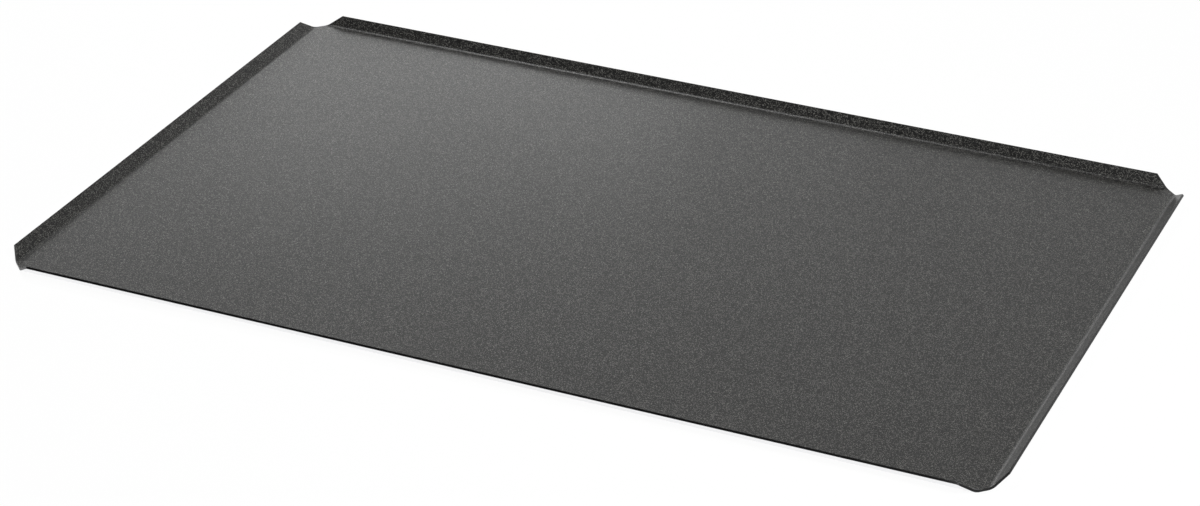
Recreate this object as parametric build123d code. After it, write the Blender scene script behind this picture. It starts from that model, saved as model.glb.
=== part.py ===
from build123d import *

import math
import os

# A shallow rectangular baking sheet, folded from one aluminium blank. The blank is a rectangle whose
# four corners are cut off at 45 degrees. Its four edges are folded up and outward, and the cut corners
# keep neighbouring flanges apart, so the corners of the sheet stay flat and open. The non-stick coating
# is sprayed on after folding: it covers the whole upper face, wraps over the cut edges and stops just
# short of their lower arris. The underside is bare metal.
# The frame: +X along the length, +Z up, and the origin under the middle of the base.

# Driving dimensions, in millimetres and degrees
sheet_length = 600.0
sheet_width = 400.0
metal_thickness = 1.5
flange_angle = 45.0
bend_radius = 4.0
flange_flat = 7.0
corner_gap = 2.5
coating_thickness = 0.05
bare_arris = 0.1

# Where the metal's length stays the same in a fold, as a share of its thickness from the inside
neutral_share = 0.5

# The fold, worked out from the driving dimensions
fold = math.radians(flange_angle)
outer_radius = bend_radius + metal_thickness
neutral_radius = bend_radius + metal_thickness * neutral_share
flange_run = outer_radius * math.sin(fold) + flange_flat * math.cos(fold)
base_half_length = sheet_length / 2 - flange_run
base_half_width = sheet_width / 2 - flange_run


def fold_point(reach, turn, climb, height):
    """A point of a flange's cross-section, in the XZ plane.

    reach is where the fold starts, turn the angle through the fold, climb the way up the straight
    flange beyond it, and height the distance from the sheet's lower face."""
    radius = outer_radius - height
    x = reach + radius * math.sin(turn) + climb * math.cos(turn)
    z = outer_radius - radius * math.cos(turn) + climb * math.sin(turn)
    return Vector(x, 0, z)


def half_span(side_half, unfolded, grow):
    """Half the blank's length between two corner cuts, at a distance beyond the bend line.

    A cut at 45 degrees draws the ends in by as much as the blank runs out. A layer that grows
    outward keeps the cut's direction, so its ends move by the diagonal."""
    return side_half - corner_gap - unfolded + grow * math.sqrt(2)


def cross_section(reach, side_half, turn, climb, low, high, grow):
    """The face where a plane square to the sheet cuts a flange along its whole length."""
    half = half_span(side_half, neutral_radius * turn + climb, grow)
    along = Vector(0, half, 0)
    bottom = fold_point(reach, turn, climb, low)
    top = fold_point(reach, turn, climb, high)
    return make_face(Polyline(bottom - along, bottom + along, top + along, top - along, close=True))


def bend(reach, side_half, low, high, grow):
    """The folded strip: a sector of a tube, whose ends follow the corner cuts round the fold."""
    inner, outer = [
        ThreePointArc(*[fold_point(reach, fold * share, 0, height) for share in (0, 0.5, 1)])
        for height in (high, low)
    ]
    profile = make_face([inner, outer, Line(inner @ 0, outer @ 0), Line(inner @ 1, outer @ 1)])
    sector = extrude(profile, amount=side_half, dir=(0, 1, 0), both=True)
    # The trimming body is deeper than the strip, so only its ends cut
    spare = bend_radius / 2
    turns = [fold * share for share in (0, 0.25, 0.5, 0.75, 1)]
    trim = loft(
        [cross_section(reach, side_half, turn, 0, low - spare, high + spare, grow) for turn in turns]
    )
    return sector & trim


def flange(reach, side_half, low, high, grow):
    """The straight slope beyond the fold, up to the rim."""
    foot = cross_section(reach, side_half, fold, 0, low, high, grow)
    rim = cross_section(reach, side_half, fold, flange_flat + grow, low, high, grow)
    return loft([foot, rim], ruled=True)


def base(low, high, grow):
    """The flat of the sheet, with its corners cut between neighbouring bend lines."""
    x, y = base_half_length, base_half_width
    x_cut, y_cut = half_span(x, 0, grow), half_span(y, 0, grow)
    outline = Polyline(
        (x, -y_cut), (x, y_cut), (x_cut, y), (-x_cut, y),
        (-x, y_cut), (-x, -y_cut), (-x_cut, -y), (x_cut, -y),
        close=True,
    )
    return Pos(0, 0, low) * extrude(make_face(outline), amount=high - low)


def folded_blank(low, high, grow):
    """The whole folded form between two heights above the sheet's lower face.

    grow is how far its cut edge stands outside the metal's."""
    form = base(low, high, grow)
    sides = [(base_half_length, base_half_width), (base_half_width, base_half_length)] * 2
    for quarter, (reach, side_half) in enumerate(sides):
        turned = Rot(0, 0, 90 * quarter)
        form += turned * bend(reach, side_half, low, high, grow)
        form += turned * flange(reach, side_half, low, high, grow)
    return form


def pressed_sheet():
    """The aluminium blank, cut and folded."""
    return folded_blank(0, metal_thickness, 0)


def nonstick_coating():
    """The cured coat: a cap over the metal that ends above the lower arris of the cut edge."""
    covered = folded_blank(bare_arris, metal_thickness + coating_thickness, coating_thickness)
    return covered - pressed_sheet()


parts = {
    "pressed_sheet": pressed_sheet(),
    "nonstick_coating": nonstick_coating(),
}

os.makedirs("parts", exist_ok=True)
for name, shape in parts.items():
    shape.label = name
    export_step(shape, f"parts/{name}.step")
    box = shape.bounding_box()
    print(name, "solids", len(shape.solids()), "volume", round(shape.volume, 1), "size", box.size)
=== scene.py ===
import bpy
import math
from mathutils import Matrix, Vector


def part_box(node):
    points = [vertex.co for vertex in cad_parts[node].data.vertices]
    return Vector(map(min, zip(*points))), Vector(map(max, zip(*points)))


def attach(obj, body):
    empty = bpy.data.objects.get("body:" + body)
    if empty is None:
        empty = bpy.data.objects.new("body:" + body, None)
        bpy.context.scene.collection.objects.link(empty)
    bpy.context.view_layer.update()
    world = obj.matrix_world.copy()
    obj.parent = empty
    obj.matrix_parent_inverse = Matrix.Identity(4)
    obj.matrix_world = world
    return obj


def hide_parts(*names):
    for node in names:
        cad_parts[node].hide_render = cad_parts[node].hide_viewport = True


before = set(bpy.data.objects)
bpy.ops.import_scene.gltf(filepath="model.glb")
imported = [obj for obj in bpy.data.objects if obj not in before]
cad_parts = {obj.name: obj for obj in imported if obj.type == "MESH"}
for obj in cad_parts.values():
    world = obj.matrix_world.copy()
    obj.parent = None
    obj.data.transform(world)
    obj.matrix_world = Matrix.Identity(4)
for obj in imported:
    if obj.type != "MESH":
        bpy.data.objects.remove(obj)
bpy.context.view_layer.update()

# The pressed sheet: one aluminium blank, sheared to size with its four corners cut off at 45 degrees,
# and deburred. A press brake folds its four edges up and outward, and the corners stay flat and open.
# Its underside and the outsides of its edges are left bare, with the rolling mill's grain along them.

metal_thickness = 0.0015
fold = math.radians(45)
bend_radius = 0.004
corner_gap = 0.0025
upper_arris = 0.0001
lower_arris = 0.0001

# The rest of the blank is worked out from the size of the folded sheet
sheet_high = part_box("pressed_sheet")[1]
outer_radius = bend_radius + metal_thickness
neutral_radius = bend_radius + metal_thickness / 2
bend_length = neutral_radius * fold
flange_flat = (sheet_high.z - outer_radius + bend_radius * math.cos(fold)) / math.sin(fold)
flange_length = bend_length + flange_flat
flange_run = outer_radius * math.sin(fold) + flange_flat * math.cos(fold)
base_half_length = sheet_high.x - flange_run
base_half_width = sheet_high.y - flange_run

# How finely the blank is divided for its mesh
cells_along = 48
cells_across = 32
bend_rows = 12
flange_rows = 4
arris_steps = 5
# How far shading leans to the wide faces beside an arris: 50 is not at all, and 100 all the way
wide_face_weight = 100

# The metal's finish. A stretch is how many marks go to a metre along the sheet, across it and through it,
# and the other scales are how many go to a metre in every direction.
grain_stretch = (14, 1400, 1400)
streak_stretch = (3, 160, 160)
rub_stretch = (90, 5, 90)
rub_patch_scale = 34.0
cloud_scale = 9.0
dull_metal = (0.84, 0.84, 0.85, 1)
bright_metal = (0.93, 0.93, 0.94, 1)
metal_roughness = 0.24
metal_relief = 0.000008


def lattice_lines(cells):
    """The mesh's lines across the blank in one direction, from edge to edge.

    Each is a share of the span between the corner cuts, and its way beyond the bend line, if any."""
    ways = [bend_length * row / bend_rows for row in range(bend_rows)]
    ways += [bend_length + flange_flat * row / flange_rows for row in range(flange_rows + 1)]
    inner = [(2 * cell / cells - 1, None) for cell in range(cells + 1)]
    return [(-1, way) for way in reversed(ways)] + inner + [(1, way) for way in ways]


def flat_place(line_x, line_y, inset):
    """Where two lines cross on the flat blank, whose outline is drawn in by inset."""
    ways = [way for share, way in (line_x, line_y) if way is not None]
    way = ways[0] if ways else 0
    if way >= flange_length:
        way -= inset
    pulled_in = corner_gap + way + inset * math.sqrt(2)
    place = []
    for (share, own_way), half in ((line_x, base_half_length), (line_y, base_half_width)):
        place.append(share * (half - pulled_in if own_way is None else half + way))
    return place


def folded(x, y, height):
    """Where a point of the flat blank goes when its edges are folded.

    height is its distance from the blank's lower face."""
    beyond_x, beyond_y = abs(x) - base_half_length, abs(y) - base_half_width
    way = max(beyond_x, beyond_y)
    if way <= 0:
        return x, y, height
    turn = min(way / neutral_radius, fold)
    climb = max(way - bend_length, 0)
    radius = outer_radius - height
    run = radius * math.sin(turn) + climb * math.cos(turn)
    rise = outer_radius - radius * math.cos(turn) + climb * math.sin(turn)
    if beyond_x > beyond_y:
        return math.copysign(base_half_length + run, x), y, rise
    return x, math.copysign(base_half_width + run, y), rise


def folded_shell(name, edge_profile):
    """A closed skin round the folded blank, as a new piece.

    edge_profile is the cut edge's section, as (inset, height) steps from the upper face's border
    to the lower face's."""
    lines_x, lines_y = lattice_lines(cells_along), lattice_lines(cells_across)
    numbers, vertices, flat_places = {}, [], []

    def vertex(crossing, step):
        if (crossing, step) not in numbers:
            inset, height = edge_profile[step]
            x, y = flat_place(lines_x[crossing[0]], lines_y[crossing[1]], inset)
            numbers[crossing, step] = len(vertices)
            vertices.append(folded(x, y, height))
            flat_places.extend((x, y, height))
        return numbers[crossing, step]

    cells, borders = [], set()
    for i in range(len(lines_x) - 1):
        for j in range(len(lines_y) - 1):
            around = [(i, j), (i + 1, j), (i + 1, j + 1), (i, j + 1)]
            cell = [(a, b) for a, b in around if lines_x[a][1] is None or lines_y[b][1] is None]
            if len(cell) > 2:
                cells.append(cell)
                borders ^= set(frozenset(pair) for pair in zip(cell, cell[1:] + cell[:1]))
    last = len(edge_profile) - 1
    faces = []
    for cell in cells:
        faces.append([vertex(crossing, 0) for crossing in cell])
        faces.append([vertex(crossing, last) for crossing in reversed(cell)])
        for a, b in zip(cell, cell[1:] + cell[:1]):
            if frozenset((a, b)) in borders:
                for step in range(last):
                    above = [vertex(b, step), vertex(a, step)]
                    below = [vertex(a, step + 1), vertex(b, step + 1)]
                    faces.append(above + below)
    mesh = bpy.data.meshes.new(name)
    mesh.from_pydata(vertices, [], faces)
    mesh.attributes.new("flat_place", "FLOAT_VECTOR", "POINT").data.foreach_set("vector", flat_places)
    mesh.shade_smooth()
    piece = bpy.data.objects.new(name, mesh)
    bpy.context.scene.collection.objects.link(piece)
    piece.modifiers.new("level_faces", "WEIGHTED_NORMAL").weight = wide_face_weight
    return piece


def quarter_round(radius, inset, height, first, last):
    """Steps round an arris of this radius, centred at inset and height. Angles are from upright."""
    steps = []
    for step in range(arris_steps + 1):
        angle = math.radians(first + (last - first) * step / arris_steps)
        steps.append((inset - radius * math.sin(angle), height + radius * math.cos(angle)))
    return steps


class Wire:
    """A socket of a material's nodes. Sums, differences and products of wires add Math nodes."""

    def __init__(self, tree, socket=None):
        self.tree = tree
        self.socket = socket

    def node(self, kind, settings=(), inputs=(), output=0):
        """Adds a node, with its settings first and then its sockets, and gives one of its outputs."""
        added = self.tree.nodes.new(kind)
        for name, value in dict(settings).items():
            setattr(added, name, value)
        for name, value in dict(inputs).items():
            if isinstance(value, Wire):
                self.tree.links.new(value.socket, added.inputs[name])
            else:
                added.inputs[name].default_value = value
        return Wire(self.tree, added.outputs[output])

    def also(self, output):
        """Another output of the node that this wire comes from."""
        return Wire(self.tree, self.socket.node.outputs[output])

    def maths(self, operation, *values):
        """One sum worked out from wires and plain numbers."""
        return self.node("ShaderNodeMath", {"operation": operation}, enumerate(values))

    def __add__(self, other):
        return self.maths("ADD", self, other)

    __radd__ = __add__

    def __sub__(self, other):
        return self.maths("SUBTRACT", self, other)

    def __rsub__(self, other):
        return self.maths("SUBTRACT", other, self)

    def __mul__(self, other):
        return self.maths("MULTIPLY", self, other)

    __rmul__ = __mul__

    def rise(self, low, high):
        """0 below low and 1 above high, with a smooth slope between."""
        settings = {"interpolation_type": "SMOOTHSTEP"}
        return self.node("ShaderNodeMapRange", settings, {"Value": self, "From Min": low, "From Max": high})

    def blend(self, first, second):
        """The first colour where this wire is 0, and the second where it is 1."""
        # A Mix node has a set of sockets for each kind of value, and these numbers are the colours'
        colours = {0: self, 6: first, 7: second}
        return self.node("ShaderNodeMix", {"data_type": "RGBA"}, colours, 2)

    def scaled(self, *scale):
        """This vector with each part multiplied by its own number."""
        return self.node("ShaderNodeVectorMath", {"operation": "MULTIPLY"}, {0: self, 1: scale})

    def noise(self, scale, detail=2.0, roughness=0.5):
        """Noise from 0 to 1 at the places that this vector gives."""
        inputs = {"Vector": self, "Scale": scale, "Detail": detail, "Roughness": roughness}
        return self.node("ShaderNodeTexNoise", {}, inputs)


def new_finish(name):
    """A material with an empty shader, and the wire of a piece's places on its flat blank."""
    material = bpy.data.materials.new(name)
    material.use_nodes = True
    start = Wire(material.node_tree)
    place = start.node("ShaderNodeAttribute", {"attribute_name": "flat_place"}, {}, "Vector")
    return material, material.node_tree.nodes["Principled BSDF"], place


def bare_aluminium():
    """Bright mill finish: fine grain along the sheet, faint cloudiness, and rubs from oven shelves."""
    material, shader, place = new_finish("bare_aluminium")
    grain = place.scaled(*grain_stretch).noise(1.0, 4.0, 0.6)
    streaks = place.scaled(*streak_stretch).noise(1.0, 3.0)
    clouds = place.noise(cloud_scale, 4.0, 0.6)
    scrapes = place.scaled(*rub_stretch).noise(1.0, 2.0).rise(0.62, 0.78)
    rubs = scrapes * place.noise(rub_patch_scale, 3.0).rise(0.45, 0.7)
    tone = grain * 0.35 + streaks * 0.4 + clouds * 0.25
    colour = tone.rise(0.3, 0.7).blend(dull_metal, bright_metal)
    roughness = metal_roughness + grain * 0.10 + clouds * 0.08 + rubs * 0.12
    relief = grain * 0.6 + streaks * 0.3 + rubs * 0.8
    surface = {"Height": relief, "Strength": 1.0, "Distance": metal_relief}
    tree = material.node_tree
    tree.links.new(colour.socket, shader.inputs["Base Color"])
    tree.links.new(roughness.socket, shader.inputs["Roughness"])
    tree.links.new(place.node("ShaderNodeBump", {}, surface).socket, shader.inputs["Normal"])
    shader.inputs["Metallic"].default_value = 1.0
    return material


metal_edge = quarter_round(upper_arris, upper_arris, metal_thickness - upper_arris, 0, 90)
metal_edge += quarter_round(lower_arris, lower_arris, lower_arris, 90, 180)
pressed_sheet = folded_shell("bare_pressed_sheet", metal_edge)
pressed_sheet.data.materials.append(bare_aluminium())
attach(pressed_sheet, "root")
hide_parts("pressed_sheet")

# The non-stick coating: a black primer and a top coat with pale mineral flecks in it, sprayed on after
# folding and baked hard to about a twentieth of a millimetre. It covers the whole upper face, and wraps
# round the cut edges, where the flecks don't reach, to just above their lower arris.

coating_thickness = 0.00005
bare_arris = 0.0001

# The coat's finish. A scale is how many marks go to a metre. The flecks' are counts of cells, of which a
# share hold a fleck, and a fleck's reach is measured in cells.
fine_scale, fine_share, fine_reach = 2350, 0.34, 0.66
coarse_scale, coarse_share, coarse_reach = 1200, 0.14, 0.50
mist_scale = 1700
haze_scale = 7.0
peel_scale = 420
coat_black = (0.002, 0.002, 0.002, 1)
fleck_grey = (0.196, 0.193, 0.18, 1)
coat_roughness = 0.30
coat_relief = 0.00001
# Under plain plastic's 1.5, because the sprayed top coat mirrors little
coat_refraction = 1.36


def nonstick_coat():
    """Satin black with a fine pale speckle, slightly uneven as sprayed coats are."""
    material, shader, place = new_finish("nonstick_coat")
    height = place.node("ShaderNodeSeparateXYZ", {}, {"Vector": place}, "Z")
    on_face = height.rise(metal_thickness - 2 * upper_arris, metal_thickness)

    def flecks(scale, share, reach):
        """Flecks with soft borders, in the luckiest share of the cells of a pattern."""
        pattern = {"feature": "F1", "distance": "EUCLIDEAN"}
        sockets = {"Vector": place, "Scale": scale, "Randomness": 1.0}
        distance = place.node("ShaderNodeTexVoronoi", pattern, sockets, "Distance")
        luck = place.node("ShaderNodeSeparateColor", {}, {"Color": distance.also("Color")}, "Red")
        # Two in five are at full strength and the others fainter. Each is solid to half its reach.
        return luck.rise(1 - share, 1 - share * 0.4) * (1 - distance.rise(reach * 0.5, reach))

    fine = flecks(fine_scale, fine_share, fine_reach)
    coarse = flecks(coarse_scale, coarse_share, coarse_reach)
    mist = place.noise(mist_scale, 3.0, 0.6).rise(0.42, 0.68)
    pale = (fine + coarse * 0.2 + mist * 0.05) * on_face
    colour = place.maths("MINIMUM", pale, 1.0).blend(coat_black, fleck_grey)
    haze = place.noise(haze_scale, 3.0, 0.55)
    roughness = coat_roughness + haze * 0.06 - fine * 0.05
    peel = place.noise(peel_scale, 2.0)
    relief = peel + fine * 0.5 + coarse * 0.8 + mist * 0.4
    surface = {"Height": relief, "Strength": 1.0, "Distance": coat_relief}
    tree = material.node_tree
    tree.links.new(colour.socket, shader.inputs["Base Color"])
    tree.links.new(roughness.socket, shader.inputs["Roughness"])
    tree.links.new(place.node("ShaderNodeBump", {}, surface).socket, shader.inputs["Normal"])
    shader.inputs["IOR"].default_value = coat_refraction
    return material


arris_height = metal_thickness - upper_arris
coat_edge = quarter_round(upper_arris + coating_thickness, upper_arris, arris_height, 0, 90)
coat_edge += quarter_round(coating_thickness, 0, bare_arris + coating_thickness, 90, 180)
coat_edge += quarter_round(upper_arris, upper_arris, arris_height, 90, 0)
coating = folded_shell("sprayed_coating", coat_edge)
coating.data.materials.append(nonstick_coat())
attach(coating, "root")
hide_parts("nonstick_coating")

# The studio: a sweep painted matt white, which the sheet lies on. Its floor is flat under the sheet and
# curves up through a cove into a low wall all round.

sweep_reach = 7.0
sweep_cove = 1.0
sweep_height = 3.9
sweep_sides = 96
# The rings that the floor is divided into, as shares of its reach
floor_rings = (0.1, 0.3, 0.6)
cove_steps = 12
# The floor lies this far under the sheet, so that the two have no face in common
sweep_drop = 0.0002

# Near the sheet the paint shows a small part of its shade, which fades out between the two distances
paint_white = (0.9, 0.9, 0.9, 1)
glow_white = (1, 1, 1, 1)
own_white_near = 0.94
shade_start, shade_end = 0.5, 1.6


def sweep_mesh():
    """A dish turned about the sheet's middle: a floor, a cove and a wall."""
    profile = [(sweep_reach * share, 0) for share in floor_rings]
    for step in range(cove_steps + 1):
        angle = math.radians(90 * step / cove_steps)
        run = sweep_reach - sweep_cove + sweep_cove * math.sin(angle)
        profile.append((run, sweep_cove - sweep_cove * math.cos(angle)))
    profile.append((sweep_reach, sweep_height))
    vertices = []
    for run, rise in profile:
        for side in range(sweep_sides):
            angle = math.tau * side / sweep_sides
            vertices.append((run * math.cos(angle), run * math.sin(angle), rise - sweep_drop))
    faces = [list(range(sweep_sides))]
    for ring in range(len(profile) - 1):
        for side in range(sweep_sides):
            here, after = ring * sweep_sides + side, ring * sweep_sides + (side + 1) % sweep_sides
            faces.append([after, here, here + sweep_sides, after + sweep_sides])
    mesh = bpy.data.meshes.new("sweep")
    mesh.from_pydata(vertices, [], faces)
    mesh.shade_smooth()
    return mesh


def sweep_paint():
    """White paint. Seen or mirrored, most of its white is its own, so that only a soft shadow shows."""
    material = bpy.data.materials.new("sweep_paint")
    material.use_nodes = True
    material.cycles.emission_sampling = "NONE"
    tree = material.node_tree
    tree.nodes.remove(tree.nodes["Principled BSDF"])
    start = Wire(tree)
    paint = start.node("ShaderNodeBsdfDiffuse", {}, {"Color": paint_white})
    glow = start.node("ShaderNodeEmission", {}, {"Color": glow_white, "Strength": 1.0})
    to_camera = start.node("ShaderNodeLightPath", {}, {}, "Is Camera Ray")
    seen = start.maths("MAXIMUM", to_camera, to_camera.also("Is Glossy Ray"))
    seen = start.maths("MAXIMUM", seen, to_camera.also("Is Transmission Ray"))
    place = start.node("ShaderNodeTexCoord", {}, {}, "Object")
    away = start.node("ShaderNodeVectorMath", {"operation": "LENGTH"}, {0: place}, "Value")
    own_white = seen * (own_white_near + (1 - own_white_near) * away.rise(shade_start, shade_end))
    mixed = start.node("ShaderNodeMixShader", {}, {0: own_white, 1: paint, 2: glow})
    tree.links.new(mixed.socket, tree.nodes["Material Output"].inputs["Surface"])
    return material


sweep = bpy.data.objects.new("sweep", sweep_mesh())
sweep.data.materials.append(sweep_paint())
bpy.context.scene.collection.objects.link(sweep)

# The light: soft boxes in a dim room, all turned to the sheet. Low, weak strips behind it give the coat its
# sheen. The large box in front, to the right, and the two high up on the left light everything evenly.

soft_boxes = {
    # name: (degrees left of straight behind, degrees up, distance, width, height, watts)
    "left_strip": (42, 18, 0.87, 0.7, 0.14, 0.45),
    "near_strip": (26, 18, 0.79, 0.5, 0.14, 0.15),
    "far_strip": (10, 19, 2.2, 0.5, 0.3, 0.22),
    "back_box": (5, 34, 1.3, 0.4, 0.3, 0.09),
    "side_box": (58, 60, 1.3, 0.5, 0.5, 5.0),
    "over_box": (30, 65, 1.3, 0.6, 0.6, 2.9),
    "front_box": (-125, 54, 2.0, 1.2, 1.0, 35.5),
}
room_light = 0.03

for name, (leftward, upward, distance, width, height, watts) in soft_boxes.items():
    lamp = bpy.data.lights.new(name, "AREA")
    lamp.shape = "RECTANGLE"
    lamp.size = width
    lamp.size_y = height
    lamp.energy = watts
    box = bpy.data.objects.new(name, lamp)
    aside = Matrix.Rotation(math.radians(leftward), 4, "Z") @ Matrix.Rotation(math.radians(upward), 4, "X")
    place = aside @ Vector((0, distance, 0))
    box.matrix_world = Matrix.Translation(place) @ (-place).to_track_quat("-Z", "Y").to_matrix().to_4x4()
    box.visible_camera = False
    bpy.context.scene.collection.objects.link(box)

world = bpy.data.worlds.new("dim_room")
world.use_nodes = True
world.node_tree.nodes["Background"].inputs["Color"].default_value = (1, 1, 1, 1)
world.node_tree.nodes["Background"].inputs["Strength"].default_value = room_light
bpy.context.scene.world = world
bpy.context.scene.view_settings.view_transform = "Standard"

# The camera, at the photograph's viewing angle, which was fitted to the sheet's four rims. Its axis meets
# the picture a little left of the middle. Its column and the focal length are in the photograph's pixels.

photo_width = 1200
axis_column = 530.5
focal_length = 3378.64
camera_place = (0.67635, -1.64757, 0.91057)
camera_turn = math.radians(23.818)
camera_pitch = math.radians(90 - 27.493)
camera_roll = math.radians(0.701)
nearest_seen = 0.01
furthest_seen = 100

lens = bpy.data.cameras.new("camera")
lens.lens = focal_length / photo_width * lens.sensor_width
lens.shift_x = 0.5 - axis_column / photo_width
lens.clip_start = nearest_seen
lens.clip_end = furthest_seen
camera = bpy.data.objects.new("camera", lens)
turned = Matrix.Rotation(camera_turn, 4, "Z") @ Matrix.Rotation(camera_pitch, 4, "X")
camera.matrix_world = Matrix.Translation(camera_place) @ turned @ Matrix.Rotation(camera_roll, 4, "Z")
bpy.context.scene.collection.objects.link(camera)
bpy.context.scene.camera = camera
